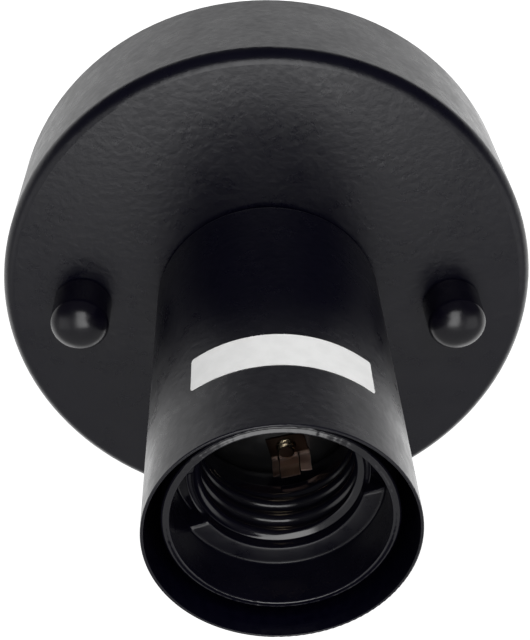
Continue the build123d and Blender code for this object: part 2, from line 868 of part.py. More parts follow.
with BuildPart() as earth_screw:
    with BuildSketch(upright(earth_x)):
        with BuildLine():
            Polyline(
                (0, -0.2),
                (1.4, -0.2),
                (1.72, -0.5),
                (1.72, -strap_t - 1.4),
                (3.2, -strap_t - 1.4),
                (3.2, -strap_t - 2.6),
            )
            ThreePointArc(
                (3.2, -strap_t - 2.6), (2.2, -strap_t - 3.35), (0, -strap_t - 3.6)
            )
            Line((0, -strap_t - 3.6), (0, -0.2))
        make_face()
    revolve(axis=Axis((earth_x, 0, 0), (0, 0, 1)))
    with BuildSketch(Plane.XY.offset(-strap_t - 4.2)):
        with Locations((earth_x, 0)):
            Rectangle(7.0, 0.9)
    extrude(amount=1.6, mode=Mode.SUBTRACT)
earth_screw.part.label = "earth_screw"
export_step(earth_screw.part, "parts/earth_screw.step")

# ---------------------------------------------------------------- terminal block
tower_top = block_axis + 7.2
screw_rows = (block_y - 4.4, block_y + 4.4)
ways = (-block_pitch, 0.0, block_pitch)
with BuildPart() as terminal_block:
    with BuildSketch(Plane.XY.offset(floor_z)):
        with Locations((0, block_y)):
            RectangleRounded(23.4, 15.2, 1.5)
    extrude(amount=1.8)
    for wx in ways:
        with BuildSketch(Plane((wx, block_y - 8.0, block_axis), z_dir=(0, 1, 0))):
            Circle(3.6)
        extrude(amount=16.0)
    for wx in ways:
        for wy in screw_rows:
            with BuildSketch(Plane((wx, wy, block_axis), x_dir=(1, 0, 0), z_dir=(0, 0, 1))):
                Circle(2.9)
            extrude(amount=7.2)
    for wx in ways:
        with BuildSketch(Plane((wx, block_y - 9.0, block_axis), z_dir=(0, 1, 0))):
            Circle(2.45)
        extrude(amount=18.0, mode=Mode.SUBTRACT)
        for wy in screw_rows:
            with BuildSketch(Plane((wx, wy, block_axis), x_dir=(1, 0, 0), z_dir=(0, 0, 1))):
                Circle(1.35)
            extrude(amount=8.0, mode=Mode.SUBTRACT)
            with BuildSketch(
                Plane((wx, wy, block_axis + 3.2), x_dir=(1, 0, 0), z_dir=(0, 0, 1))
            ):
                Circle(2.0)
            extrude(amount=5.0, mode=Mode.SUBTRACT)
    # fixing holes between the ways
    with BuildSketch(Plane.XY.offset(floor_z - 1)):
        with Locations((-block_pitch / 2, block_y), (block_pitch / 2, block_y)):
            Circle(1.3)
    extrude(amount=12.0, mode=Mode.SUBTRACT)
terminal_block.part.label = "terminal_block"
export_step(terminal_block.part, "parts/terminal_block.step")

with BuildPart() as block_inserts:
    for wx in ways:
        with BuildSketch(Plane((wx, block_y - 7.0, block_axis), z_dir=(0, 1, 0))):
            Circle(2.4)
            Circle(1.5, mode=Mode.SUBTRACT)
        extrude(amount=14.0)
    for wx in ways:
        for wy in screw_rows:
            with BuildSketch(Plane((wx, wy, block_axis), x_dir=(1, 0, 0), z_dir=(0, 0, 1))):
                Circle(1.2)
            extrude(amount=4.0, mode=Mode.SUBTRACT)
block_inserts.part.label = "block_inserts"
export_step(block_inserts.part, "parts/block_inserts.step")

with BuildPart() as block_screws:
    for wx in ways:
        for wy in screw_rows:
            with BuildSketch(upright(wx, wy)):
                Polygon(
                    (0, block_axis + core_r + 0.02),
                    (0.8, block_axis + core_r + 0.02),
                    (1.15, block_axis + core_r + 0.4),
                    (1.15, block_axis + 3.4),
                    (1.9, block_axis + 3.4),
                    (1.9, block_axis + 5.2),
                    (0, block_axis + 5.2),
                    align=None,
                )
            revolve(axis=Axis((wx, wy, 0), (0, 0, 1)))
            with BuildSketch(
                Plane((wx, wy, block_axis + 4.4), x_dir=(1, 0, 0), z_dir=(0, 0, 1))
            ):
                Rectangle(4.2, 0.6)
            extrude(amount=1.5, mode=Mode.SUBTRACT)
block_screws.part.label = "block_screws"
export_step(block_screws.part, "parts/block_screws.step")

# ---------------------------------------------------------------- stick-on label
with BuildPart() as rating_label:
    with BuildSketch(
        Plane(
            (0, 0, 0),
            x_dir=(cos(radians(label_from)), sin(radians(label_from)), 0),
            z_dir=(sin(radians(label_from)), -cos(radians(label_from)), 0),
        )
    ):
        Polygon(
            (sleeve_r, label_bottom),
            (sleeve_r + 0.12, label_bottom),
            (sleeve_r + 0.12, label_top),
            (sleeve_r, label_top),
            align=None,
        )
    revolve(axis=Axis.Z, revolution_arc=label_to - label_from)
rating_label.part.label = "rating_label"
export_step(rating_label.part, "parts/rating_label.step")
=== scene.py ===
import json
import math

import bmesh
import bpy
import numpy as np
from mathutils import Matrix, Vector, noise


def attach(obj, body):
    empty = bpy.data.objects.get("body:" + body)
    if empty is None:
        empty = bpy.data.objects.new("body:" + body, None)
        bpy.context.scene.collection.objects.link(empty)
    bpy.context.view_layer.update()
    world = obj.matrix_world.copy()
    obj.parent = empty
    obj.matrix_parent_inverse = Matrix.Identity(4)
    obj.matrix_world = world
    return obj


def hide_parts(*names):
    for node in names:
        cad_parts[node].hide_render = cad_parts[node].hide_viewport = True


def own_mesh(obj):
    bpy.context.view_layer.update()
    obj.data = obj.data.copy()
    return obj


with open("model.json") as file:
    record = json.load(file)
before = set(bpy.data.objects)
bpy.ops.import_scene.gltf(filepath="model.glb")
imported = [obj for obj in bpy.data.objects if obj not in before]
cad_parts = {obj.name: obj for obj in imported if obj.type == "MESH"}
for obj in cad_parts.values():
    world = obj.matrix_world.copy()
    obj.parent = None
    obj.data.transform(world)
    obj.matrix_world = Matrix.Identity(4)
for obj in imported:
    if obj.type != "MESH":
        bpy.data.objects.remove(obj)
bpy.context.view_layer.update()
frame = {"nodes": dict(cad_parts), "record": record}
CAD = frame["nodes"]
scene = bpy.context.scene
MM = 0.001
TAU = 2 * math.pi


# ---------------------------------------------------------------- camera
cam_data = bpy.data.cameras.new("camera")
cam_data.sensor_width = 36.0
cam_data.lens = 70.69
cam_data.clip_start, cam_data.clip_end = 0.01, 60.0
cam = bpy.data.objects.new("camera", cam_data)
scene.collection.objects.link(cam)
look_right = Vector((0.99939, -0.01754, -0.03022)).normalized()
look_fwd = Vector((0.03490, 0.54233, 0.83944)).normalized()
look_up = look_right.cross(look_fwd).normalized()
look_right = look_fwd.cross(look_up).normalized()
at = Vector((-8.931, -126.856, -228.972)) * MM
cam.matrix_world = Matrix(
    (
        (look_right.x, look_up.x, -look_fwd.x, at.x),
        (look_right.y, look_up.y, -look_fwd.y, at.y),
        (look_right.z, look_up.z, -look_fwd.z, at.z),
        (0, 0, 0, 1),
    )
)
scene.camera = cam


# ---------------------------------------------------------------- mesh helpers
def add_mesh(name, verts, faces, sharp_deg=None, recalc=True):
    """A new smooth-shaded object from points in millimetres."""
    me = bpy.data.meshes.new(name)
    me.from_pydata([tuple(float(c) * MM for c in v) for v in verts], [], faces)
    if recalc:
        bm = bmesh.new()
        bm.from_mesh(me)
        bmesh.ops.recalc_face_normals(bm, faces=bm.faces)
        bm.to_mesh(me)
        bm.free()
    me.polygons.foreach_set("use_smooth", [True] * len(me.polygons))
    if sharp_deg is not None:
        me.set_sharp_from_angle(angle=math.radians(sharp_deg))
    me.update()
    ob = bpy.data.objects.new(name, me)
    scene.collection.objects.link(ob)
    return ob


def grid_faces(n, m, wrap_n=False, wrap_m=False, start=0):
    """Quads of an n by m grid of points numbered row by row."""
    out = []
    for i in range(n if wrap_n else n - 1):
        a = start + i * m
        b = start + ((i + 1) % n) * m
        for j in range(m if wrap_m else m - 1):
            k = (j + 1) % m
            out.append((a + j, a + k, b + k, b + j))
    return out


def lathe_points(profile, seg, cx=0.0, cy=0.0):
    """Rings of a closed section (r, z) turned about a Z axis through (cx, cy)."""
    verts = []
    for i in range(seg):
        c, s = math.cos(TAU * i / seg), math.sin(TAU * i / seg)
        verts += [(cx + r * c, cy + r * s, z) for r, z in profile]
    return verts, grid_faces(seg, len(profile), True, True)


def arc_points(cx, cz, radius, a0, a1, n):
    return [
        (
            cx + radius * math.cos(math.radians(a0 + (a1 - a0) * i / (n - 1))),
            cz + radius * math.sin(math.radians(a0 + (a1 - a0) * i / (n - 1))),
        )
        for i in range(n)
    ]


def join(name, *objs):
    """One mesh object from several, keeping each one's shading."""
    bm = bmesh.new()
    for o in objs:
        bm.from_mesh(o.data)
    me = bpy.data.meshes.new(name)
    bm.to_mesh(me)
    bm.free()
    for o in objs:
        old = o.data
        bpy.data.objects.remove(o)
        bpy.data.meshes.remove(old)
    ob = bpy.data.objects.new(name, me)
    scene.collection.objects.link(ob)
    return ob


def baked(ob):
    """The object with its modifiers made part of its mesh."""
    dg = bpy.context.evaluated_depsgraph_get()
    me = bpy.data.meshes.new_from_object(ob.evaluated_get(dg))
    old = ob.data
    ob.modifiers.clear()
    ob.data = me
    bpy.data.meshes.remove(old)
    return ob


def cut(ob, tool):
    """ob without the space of tool."""
    mod = ob.modifiers.new("cut", "BOOLEAN")
    mod.operation = "DIFFERENCE"
    mod.solver = "EXACT"
    mod.object = tool
    bpy.context.view_layer.update()
    baked(ob)
    old = tool.data
    bpy.data.objects.remove(tool)
    bpy.data.meshes.remove(old)
    return ob


def block(name, lo, hi):
    x0, y0, z0 = lo
    x1, y1, z1 = hi
    verts = [
        (x0, y0, z0), (x1, y0, z0), (x1, y1, z0), (x0, y1, z0),
        (x0, y0, z1), (x1, y0, z1), (x1, y1, z1), (x0, y1, z1),
    ]
    faces = [(0, 3, 2, 1), (4, 5, 6, 7), (0, 1, 5, 4), (1, 2, 6, 5), (2, 3, 7, 6), (3, 0, 4, 7)]
    return add_mesh(name, verts, faces)


def eased(node, name, width, segments=2, angle=32):
    """A piece of the node's form with its sharp edges eased by width, in millimetres."""
    me = CAD[node].data.copy()
    me.name = name
    me.materials.clear()
    bm = bmesh.new()
    bm.from_mesh(me)
    bmesh.ops.remove_doubles(bm, verts=bm.verts, dist=2e-7)
    bmesh.ops.dissolve_limit(
        bm, angle_limit=math.radians(0.6), verts=bm.verts, edges=bm.edges
    )
    for f in bm.faces:
        f.smooth = True
    bm.to_mesh(me)
    bm.free()
    if me.has_custom_normals:
        me.attributes.remove(me.attributes["custom_normal"])
    ob = bpy.data.objects.new(name, me)
    scene.collection.objects.link(ob)
    bev = ob.modifiers.new("ease", "BEVEL")
    bev.width = width * MM
    bev.segments = segments
    bev.limit_method = "ANGLE"
    bev.angle_limit = math.radians(angle)
    bev.use_clamp_overlap = True
    bev.harden_normals = False
    bpy.context.view_layer.update()
    baked(ob)
    ob.data.polygons.foreach_set("use_smooth", [True] * len(ob.data.polygons))
    ob.data.set_sharp_from_angle(angle=math.radians(30))
    return ob


def thread_form(phase, flat=0.14):
    """Height, 0 to 1, of a 60 degree thread over one pitch, with short flats."""
    t = abs((phase % 1.0) * 2 - 1)
    return min(1.0, max(0.0, (t - flat) / (1 - 2 * flat)))


def threaded_rod(name, major, depth, pitch, z0, z1, cx=0.0, cy=0.0, seg=28, per=8, lead0=0.4, lead1=0.4, bore=None, plain=()):
    """A rod along Z with a real screw thread; lead0 and lead1 are its end chamfers, plain its unthreaded stretches."""
    rows = max(8, int((z1 - z0) / pitch * per))
    verts = []
    for i in range(rows + 1):
        z = z0 + (z1 - z0) * i / rows
        for j in range(seg):
            a = TAU * j / seg
            h = thread_form(z / pitch - j / seg)
            for p0, p1 in plain:
                if p0 <= z <= p1:
                    h = 1.0
            r = major - depth * (1 - h)
            r = min(r, major - lead0 + (z - z0), major - lead1 + (z1 - z))
            verts.append((cx + r * math.cos(a), cy + r * math.sin(a), z))
    faces = grid_faces(rows + 1, seg, False, True)
    n = len(verts)
    last = rows * seg
    if bore is None:
        verts += [(cx, cy, z0), (cx, cy, z1)]
        faces += [(n, (j + 1) % seg, j) for j in range(seg)]
        faces += [(n + 1, last + j, last + (j + 1) % seg) for j in range(seg)]
    else:
        for z, r in ((z0, bore + 0.25), (z0 + 0.25, bore), (z1 - 0.25, bore), (z1, bore + 0.25)):
            verts += [
                (cx + r * math.cos(TAU * j / seg), cy + r * math.sin(TAU * j / seg), z)
                for j in range(seg)
            ]
        rings = [0] + [n + k * seg for k in range(4)] + [last]
        for a, b in zip(rings[:-1], rings[1:]):
            faces += [(a + j, b + j, b + (j + 1) % seg, a + (j + 1) % seg) for j in range(seg)]
    return add_mesh(name, verts, faces, sharp_deg=24)


# ---------------------------------------------------------------- material helpers
class Mat:
    """A procedural material; places are in the object's own coordinates, in metres."""

    def __init__(self, name, rough, metal=0.0, spec=0.5):
        self.m = bpy.data.materials.new(name)
        self.m.use_nodes = True
        self.t = self.m.node_tree
        self.p = self.t.nodes["Principled BSDF"]
        self.p.inputs["Roughness"].default_value = rough
        self.p.inputs["Metallic"].default_value = metal
        self.p.inputs["Specular IOR Level"].default_value = spec
        self.c = self.node("ShaderNodeTexCoord").outputs["Object"]

    def node(self, kind, **inputs):
        n = self.t.nodes.new(kind)
        for k, v in inputs.items():
            n.inputs[k].default_value = v
        return n

    def link(self, a, b):
        self.t.links.new(a, b)

    def stretch(self, sx, sy, sz):
        """Coordinates scaled along each axis, for grain that runs one way."""
        n = self.node("ShaderNodeMapping")
        n.inputs["Scale"].default_value = (sx, sy, sz)
        self.link(self.c, n.inputs["Vector"])
        return n.outputs["Vector"]

    def noise(self, scale, detail=3.0, rough=0.55, where=None, lacunarity=2.0):
        n = self.node("ShaderNodeTexNoise", Scale=scale, Detail=detail, Roughness=rough, Lacunarity=lacunarity)
        self.link(where or self.c, n.inputs["Vector"])
        return n.outputs["Fac"]

    def cells(self, scale, feature="F1", where=None):
        n = self.node("ShaderNodeTexVoronoi", Scale=scale)
        n.feature = feature
        self.link(where or self.c, n.inputs["Vector"])
        return n.outputs["Distance"]

    def range(self, value, a, b, lo, hi, smooth=True):
        n = self.node("ShaderNodeMapRange")
        n.interpolation_type = "SMOOTHSTEP" if smooth else "LINEAR"
        n.clamp = True
        for k, v in zip(("From Min", "From Max", "To Min", "To Max"), (a, b, lo, hi)):
            n.inputs[k].default_value = v
        self.link(value, n.inputs["Value"])
        return n.outputs["Result"]

    def math(self, op, a, b=None):
        n = self.node("ShaderNodeMath")
        n.operation = op
        for k, v in enumerate((a, b)):
            if v is None:
                continue
            if isinstance(v, (int, float)):
                n.inputs[k].default_value = v
            else:
                self.link(v, n.inputs[k])
        return n.outputs["Value"]

    def mix(self, fac, a, b):
        n = self.node("ShaderNodeMix")
        n.data_type = "RGBA"
        self.link(fac, n.inputs[0])
        for k, v in ((6, a), (7, b)):
            if isinstance(v, (tuple, list)):
                n.inputs[k].default_value = (*v, 1.0)
            else:
                self.link(v, n.inputs[k])
        return n.outputs[2]

    def axis(self, which):
        n = self.node("ShaderNodeSeparateXYZ")
        self.link(self.c, n.inputs[0])
        return n.outputs["XYZ".index(which)]

    def colour(self, value):
        self.link(value, self.p.inputs["Base Color"])
        return self

    def rough(self, value):
        self.link(value, self.p.inputs["Roughness"])
        return self

    def metal(self, value):
        self.link(value, self.p.inputs["Metallic"])
        return self

    def bump(self, *layers):
        """layers are (height value, distance in metres, strength)."""
        before = None
        for height, distance, strength in layers:
            n = self.node("ShaderNodeBump", Strength=strength, Distance=distance)
            self.link(height, n.inputs["Height"])
            if before is not None:
                self.link(before, n.inputs["Normal"])
            before = n.outputs["Normal"]
        self.link(before, self.p.inputs["Normal"])
        return self


def coat(name, dark, light, r0, r1, peel=0.19):
    m = Mat(name, 0.35)
    broad = m.noise(160, 4)
    fine = m.noise(640, 1.5, 0.4)
    m.colour(m.mix(m.range(fine, 0.36, 0.64, 0, 1), dark, light))
    m.rough(m.math("ADD", m.range(broad, 0.3, 0.7, r0, r1), m.range(fine, 0.36, 0.64, 0.025, -0.025)))
    m.bump((m.noise(760, 2, 0.5), 0.00022, peel), (m.noise(5200, 2), 0.00003, 0.10))
    return m.m


def plated(name, tone_a, tone_b, r0, r1, along=(1, 1, 1)):
    m = Mat(name, 0.3, metal=1.0)
    grain = m.noise(2600, 3, 0.6, m.stretch(*along))
    bloom = m.noise(210, 4, 0.6)
    m.colour(m.mix(m.range(bloom, 0.3, 0.72, 0, 1), tone_a, tone_b))
    m.rough(m.range(bloom, 0.25, 0.75, r0, r1))
    m.bump((grain, 0.00003, 0.25), (m.noise(700, 2), 0.00005, 0.12))
    return m.m


def moulded(name, tone_a, tone_b, r0, r1, grain=0.10):
    m = Mat(name, 0.35)
    flow = m.noise(130, 4, 0.5)
    speck = m.noise(3000, 2)
    m.colour(m.mix(m.range(flow, 0.3, 0.7, 0, 1), tone_a, tone_b))
    m.rough(m.range(m.noise(420, 3), 0.3, 0.7, r0, r1))
    m.bump((speck, 0.00003, grain), (flow, 0.0004, 0.05))
    return m.m


def wire(name, tone_a, tone_b, stripe=None):
    m = Mat(name, 0.42)
    drag = m.noise(900, 3)
    c = m.mix(m.range(drag, 0.3, 0.7, 0, 1), tone_a, tone_b)
    m.colour(c)
    m.rough(m.range(m.noise(500, 3), 0.3, 0.7, 0.34, 0.5))
    m.bump((m.noise(2400, 2), 0.00003, 0.15))
    return m.m


M = {}
M["black_coat"] = coat("black_coat", (0.0007, 0.0006, 0.0038), (0.0014, 0.0012, 0.0048), 0.27, 0.33)
M["nut_black"] = coat("nut_black", (0.0014, 0.0011, 0.0034), (0.0024, 0.0020, 0.0046), 0.19, 0.25, 0.05)

m = Mat("holder_plastic", 0.22, spec=0.7)
flow = m.noise(140, 4, 0.5)
deep = m.mix(m.range(flow, 0.3, 0.7, 0, 1), (0.002, 0.0018, 0.0048), (0.0032, 0.0029, 0.0062))
flat = m.math(
    "MULTIPLY", m.range(m.axis("Z"), -0.0793, -0.0794, 0.0, 1.0), m.range(m.axis("Z"), -0.07995, -0.0798, 0.0, 1.0)
)
skirt = m.math(
    "MULTIPLY", m.range(m.axis("Z"), -0.0800, -0.0812, 0.0, 1.0), m.range(m.axis("Z"), -0.0877, -0.0871, 0.0, 1.0)
)
grained = m.mix(m.range(m.noise(900, 4), 0.3, 0.7, 0, 1), (0.0015, 0.0013, 0.0043), (0.0032, 0.0029, 0.0060))
m.colour(m.mix(flat, deep, grained))
m.link(m.range(flat, 0.0, 1.0, 0.7, 0.44), m.p.inputs["Specular IOR Level"])
dulled = m.math("ADD", m.math("MULTIPLY", flat, 0.14), m.math("MULTIPLY", skirt, 0.10))
m.rough(m.math("ADD", m.range(m.noise(380, 3), 0.3, 0.7, 0.12, 0.20), dulled))
m.bump((m.noise(3200, 2), 0.00003, 0.08), (flow, 0.0004, 0.04))
M["holder_plastic"] = m.m

M["carrier_plastic"] = moulded("carrier_plastic", (0.0025, 0.0025, 0.0028), (0.0045, 0.0045, 0.005), 0.30, 0.42)
M["brass"] = plated("brass", (0.70, 0.56, 0.36), (0.82, 0.69, 0.48), 0.13, 0.21)

# The side contact's colour is painted light and shade: a light painted highlight tone, a darker painted shade tone and
# a near-black painted shadow tone, each varied by the bloom noise.
m = Mat("bronze", 0.45, metal=1.0)
bloom = m.noise(210, 4, 0.6)
painted_highlight_tone = m.mix(m.range(bloom, 0.3, 0.72, 0, 1), (0.84, 0.60, 0.52), (0.98, 0.74, 0.65))
painted_shadow_tone = m.mix(m.range(bloom, 0.3, 0.72, 0, 1), (0.05, 0.033, 0.026), (0.085, 0.058, 0.045))
painted_shade_tone = m.mix(m.range(bloom, 0.3, 0.72, 0, 1), (0.21, 0.14, 0.115), (0.30, 0.20, 0.165))
# painted highlight over one outer finger, painted shade over the rest
painted_light_mix = m.mix(m.range(m.axis("X"), 0.0042, 0.0046, 0.0, 1.0), painted_shade_tone, painted_highlight_tone)
# painted highlight high on the fingers, fading down into the mix above
painted_light_mix = m.mix(m.range(m.axis("Z"), -0.0621, -0.0642, 0.0, 1.0), painted_highlight_tone, painted_light_mix)
# painted shade over the other outer finger: 30 percent of the shadow tone
leaf = m.mix(m.range(m.axis("X"), 0.0009, 0.0011, 0.3, 0.0), painted_light_mix, painted_shadow_tone)
# painted shadow over the foot and the top of the bend
m.colour(m.mix(m.range(m.axis("Z"), -0.0604, -0.0612, 0.0, 1.0), painted_shadow_tone, leaf))
m.rough(m.range(bloom, 0.25, 0.75, 0.50, 0.62))
m.bump((m.noise(2600, 3, 0.6, m.stretch(0.25, 0.25, 1)), 0.00003, 0.25), (m.noise(700, 2), 0.00005, 0.12))
M["bronze"] = m.m

# Near-black bronze that paints shade: painted shadow on the leaf's foot and painted shade on the screw's tip.
M["bronze_painted_shade"] = plated("bronze_painted_shade", (0.018, 0.0115, 0.0085), (0.032, 0.021, 0.016), 0.30, 0.44, (1, 1, 0.25))
M["zinc_steel"] = plated("zinc_steel", (0.55, 0.56, 0.58), (0.68, 0.69, 0.70), 0.26, 0.42, (0.12, 1, 1))
M["spring_steel"] = plated("spring_steel", (0.46, 0.46, 0.47), (0.56, 0.56, 0.57), 0.22, 0.32)
M["tinned_copper"] = plated("tinned_copper", (0.62, 0.60, 0.57), (0.74, 0.72, 0.69), 0.28, 0.40)
M["copper"] = plated("copper", (0.78, 0.36, 0.20), (0.86, 0.47, 0.29), 0.22, 0.36)
M["wire_brown"] = wire("wire_brown", (0.105, 0.040, 0.018), (0.135, 0.055, 0.026))
M["wire_blue"] = wire("wire_blue", (0.020, 0.085, 0.30), (0.030, 0.115, 0.37))
M["wire_green"] = wire("wire_green", (0.045, 0.21, 0.035), (0.065, 0.27, 0.05))
M["wire_yellow"] = wire("wire_yellow", (0.66, 0.52, 0.02), (0.76, 0.61, 0.04))
M["block_plastic"] = moulded("block_plastic", (0.70, 0.70, 0.665), (0.78, 0.78, 0.75), 0.36, 0.48, 0.14)

m = Mat("label_paper", 0.5)
fibre = m.noise(2600, 4, 0.6, m.stretch(1, 1, 1.6))
m.colour(m.mix(m.range(m.noise(420, 3), 0.3, 0.7, 0, 1), (0.84, 0.84, 0.835), (0.89, 0.89, 0.885)))
m.rough(m.range(fibre, 0.3, 0.7, 0.42, 0.56))
m.bump((fibre, 0.00003, 0.12))
M["label_paper"] = m.m

SLOT_OF = {s["node"]: s["material_slot"] for s in frame["record"]["subparts"]}


def dress(ob, slot_name, body="fitting", node=None, extra=()):
    """Finish, body and replaced node of a new piece."""
    ob.data.materials.clear()
    ob.data.materials.append(M[slot_name])
    for e in extra:
        ob.data.materials.append(M[e])
    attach(ob, body)
    if node:
        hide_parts(node)
    return ob


for node_name, ob in CAD.items():
    ob.data.materials.clear()
    ob.data.materials.append(M[SLOT_OF[node_name]])


# ---------------------------------------------------------------- lampholder shell with its screw thread
PITCH, MINOR, MAJOR, ROUND_R = 3.629, 12.23, 13.325, 1.025
TURN_Z = -79.13  # the middle of a groove crosses the +X direction here
LIP, LIP_R, MOAT, RIM = -77.55, 13.38, -75.4, -88.2


def smooth(x, a, b):
    k = min(1.0, max(0.0, (x - a) / (b - a)))
    return k * k * (3 - 2 * k)


def bore(theta_deg, z):
    """Inner radius of the tube: a round thread of equal arcs on crest and root, plain behind it."""
    turn = (z - TURN_Z) / PITCH - theta_deg / 360.0
    off = abs(turn - round(turn)) * PITCH
    if off <= PITCH / 4:
        r = MAJOR - ROUND_R + math.sqrt(ROUND_R**2 - off * off)
    else:
        r = MINOR + ROUND_R - math.sqrt(ROUND_R**2 - (PITCH / 2 - off) ** 2)
    r += (12.27 - r) * smooth(z, -68.6, -67.5)
    return r + (13.6 - r) * smooth(z, -65.6, -64.2)


def lead_in(r):
    """Height of the tube's shallow conical end at a radius."""
    return LIP + 0.404 * (LIP_R - r)


def mouth_edge(theta_deg):
    """Radius where the conical end runs into the thread."""
    lo, r = None, LIP_R - 0.04
    while r > MINOR:
        if bore(theta_deg, lead_in(r)) >= r:
            break
        lo, r = r, r - 0.02
    if lo is None:
        return r
    hi = r
    for _ in range(24):
        mid = 0.5 * (lo + hi)
        if bore(theta_deg, lead_in(mid)) >= mid:
            hi = mid
        else:
            lo = mid
    return hi


ARCS = ((5.0, 147.0), (185.0, 327.0))
SKEW = ((5.0, -2.7), (147.0, 1.4), (185.0, -2.7), (327.0, 1.4))
ROUND = [(0.0, 0.0), (0.012, 0.915), (0.08, 0.93), (0.5, 0.948), (1.0, 0.966), (1.5, 0.983), (1.9, 0.994), (2.3, 1.0)]
# points across the ring groove, from the skirt to the tube: open groove, then raised arc
ACROSS = [
    ((16.50, -75.75), (16.56, -80.00)), ((16.47, -75.58), (16.53, -79.85)), ((16.38, -75.47), (16.44, -79.73)),
    ((16.22, -75.41), (16.28, -79.66)), ((16.00, -75.40), (16.00, -79.63)), ((15.50, -75.40), (15.40, -79.58)),
    ((15.00, -75.40), (14.70, -79.52)), ((14.72, -75.42), (14.00, -79.455)), ((14.58, -75.50), (13.66, -79.42)),
    ((14.52, -75.65), (13.52, -79.38)), ((14.50, -76.20), (13.43, -79.28)), ((14.50, -77.20), (13.39, -79.10)),
    ((14.48, -77.36), (13.38, -78.80)), ((14.41, -77.43), (13.38, -78.50)), ((14.32, -77.40), (13.38, -78.20)),
    ((14.10, -77.15), (13.38, -78.00)), ((13.75, -77.15), (13.38, -77.85)), ((13.50, -77.42), (13.38, -77.70)),
    ((13.42, -77.52), (13.375, -77.60)),
]


def raised(theta_deg):
    """0 in the open ring groove, 1 on a raised arc, with eased ends between."""
    for a0, a1 in ARCS:
        if a0 <= theta_deg <= a1:
            d = min(theta_deg - a0, a1 - theta_deg)
            if d >= ROUND[-1][0]:
                return 1.0
            for (d0, h0), (d1, h1) in zip(ROUND[:-1], ROUND[1:]):
                if d0 <= d <= d1:
                    return h0 + (h1 - h0) * (d - d0) / (d1 - d0)
    return 0.0


def skewed(theta_deg, r):
    """Angle of a point across the ring groove: the arcs' ends aren't quite radial."""
    shift = 0.0
    for end, amount in SKEW:
        d = abs((theta_deg - end + 180.0) % 360.0 - 180.0)
        shift += amount * (1 - smooth(d, 3.0, 14.0))
    return theta_deg + shift * (r - 15.2) / 1.35


angles = set(round(i * 1.0, 4) for i in range(360))
for a0, a1 in ARCS:
    for d, h in ROUND:
        angles.add(round(a0 + d, 4))
        angles.add(round(a1 - d, 4))
angles = sorted(a for a in angles)
kept = []
for a in angles:
    near_end = any(min(abs(a - a0), abs(a - a1)) < 0.7 for a0, a1 in ARCS)
    if near_end and abs(a - round(a)) < 1e-6 and all(abs(a - e) > 1e-6 for p in ARCS for e in p):
        continue
    kept.append(a)
angles = kept


def shell_section(t):
    """The closed section at an angle in degrees, as (angle, r, z)."""
    c, s = math.cos(math.radians(t)), math.sin(math.radians(t))
    dz = 0.035 * noise.noise((c * 26, s * 26, 3.1)) + 0.02 * noise.noise((c * 70, s * 70, 9.7))
    dr = 0.05 * max(0.0, noise.noise((c * 45, s * 45, 17.3)) - 0.15)
    h = raised(t)
    out = [(t, 18.0, -50.5), (t, 18.0, -62.0), (t, 18.0, -76.0), (t, 18.0, -84.0)]
    rim = arc_points(17.75 + dr, -87.70 + dz, 0.25, 0, -74, 6)
    bead = 0.07 + 0.05 * noise.noise((c * 33, s * 33, 5.2))
    rim += [(17.74, -87.965 + dz - bead), (17.66, -87.985 + dz - bead), (17.57, -88.01 + dz - 0.35 * bead), (17.48, -88.037 + dz), (17.18, -88.123 + dz)]
    rim += arc_points(16.92 - dr, -87.938 + dz, 0.25, -74, -180, 8)
    out += [(t, r, z) for r, z in rim]
    top = -75.85 + h * (-80.15 + 75.85)
    for i in range(1, 10):
        z = -87.7 + (top + 87.7) * i / 9
        out.append((t, 16.67 - 0.17 * (z + 87.7) / (MOAT + 87.7), z))
    for (r0, z0), (r1, z1) in ACROSS:
        r, z = r0 + (r1 - r0) * h, z0 + (z1 - z0) * h
        out.append((skewed(t, r), r, z))
    edge = mouth_edge(t)
    near = min(LIP_R - 0.03, edge + 0.05)
    for i in range(6):
        r = LIP_R - 0.02 + (near - LIP_R + 0.02) * i / 5
        out.append((t, r, lead_in(r)))
    z0 = lead_in(edge) + 0.04
    for i in range(132):
        z = z0 + (-63.0 - z0) * i / 131
        out.append((t, bore(t, z), z))
    tail = [(13.6, -62.0), (13.6, -60.2), (13.8, -60.0), (14.4, -60.0), (14.6, -60.2)]
    tail += [(14.6, -66.0), (14.6, -73.6), (14.9, -73.9), (16.2, -73.9), (16.5, -73.6)]
    tail += [(16.5, -66.0), (16.5, -50.5), (16.7, -50.2), (17.8, -50.2)]
    return out + [(t, r, z) for r, z in tail]


verts = []
for t in angles:
    section = shell_section(t)
    verts += [(r * math.cos(math.radians(a)), r * math.sin(math.radians(a)), z) for a, r, z in section]
shell = add_mesh(
    "holder_shell_moulding",
    verts,
    grid_faces(len(angles), len(section), True, True),
    sharp_deg=46,
)
dress(shell, "holder_plastic", node="holder_shell")


# ---------------------------------------------------------------- side contact: a bent leaf of three fingers
AZ = math.radians(75.0)
UN = (math.cos(AZ), math.sin(AZ))
VN = (-UN[1], UN[0])


def on_carrier(radial, across, z, side=1):
    return (
        side * (UN[0] * radial + VN[0] * across),
        side * (UN[1] * radial + VN[1] * across),
        z,
    )


